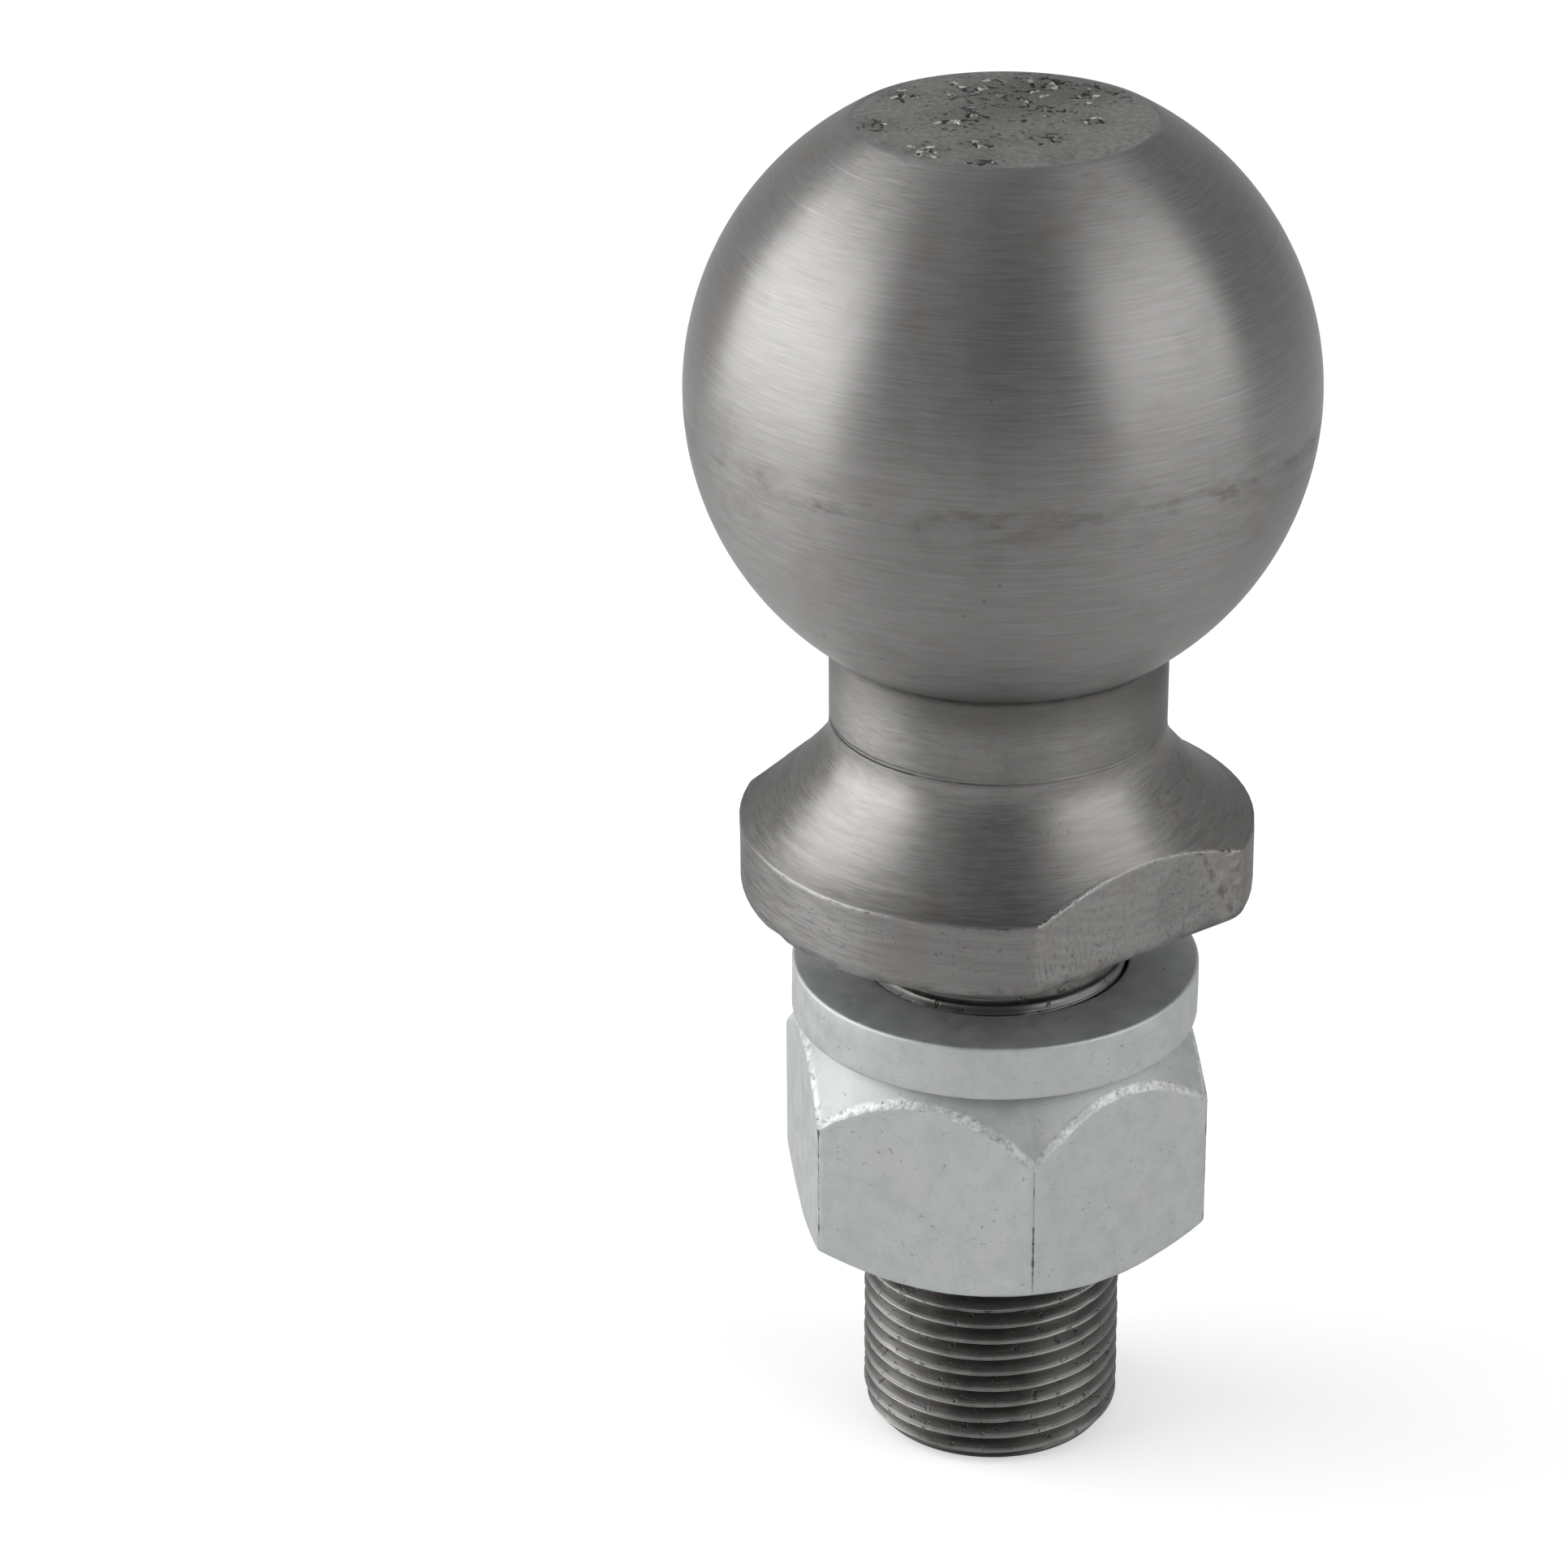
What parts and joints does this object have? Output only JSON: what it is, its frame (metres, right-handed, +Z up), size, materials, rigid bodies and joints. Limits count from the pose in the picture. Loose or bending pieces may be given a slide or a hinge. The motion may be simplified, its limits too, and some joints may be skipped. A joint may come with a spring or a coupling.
{
  "type": "threaded tow ball",
  "caption": "Steel tow ball on a flared neck and flange with two wrench flats, and a threaded shank that carries a split lock washer and a heavy hex nut.",
  "frame": {"origin": "centre of the flange's underside, on the axis of the shank", "axes": "+Z up the axis through the ball, away from the shank; -Y and +Y face the two wrench flats"},
  "size_m": [0.0587, 0.0588, 0.1346],
  "materials": {
    "bare_steel": "turned bare steel, satin, brushed round the axis",
    "zinc_plate": "dull zinc plate on steel"
  },
  "bodies": {
    "ball": {"tow_ball": "bare_steel"},
    "washer": {"lock_washer": "zinc_plate"},
    "nut": {"hex_nut": "zinc_plate"}
  },
  "joints": [
    {"name": "washer_slide", "type": "slide", "parent": "ball", "child": "washer", "axis": [0, 0, 1], "range_m": [-0.02305, 0.00615]},
    {"name": "nut_turn", "type": "hinge", "parent": "washer", "child": "nut", "pos_m": [0, 0, -0.0242], "axis": [0, 0, 1], "range_deg": [-4570, 1220]}
  ],
  "couplings": [
    {"joint": "washer_slide", "follows": "nut_turn", "m_per_rad": 0.00028875}
  ]
}
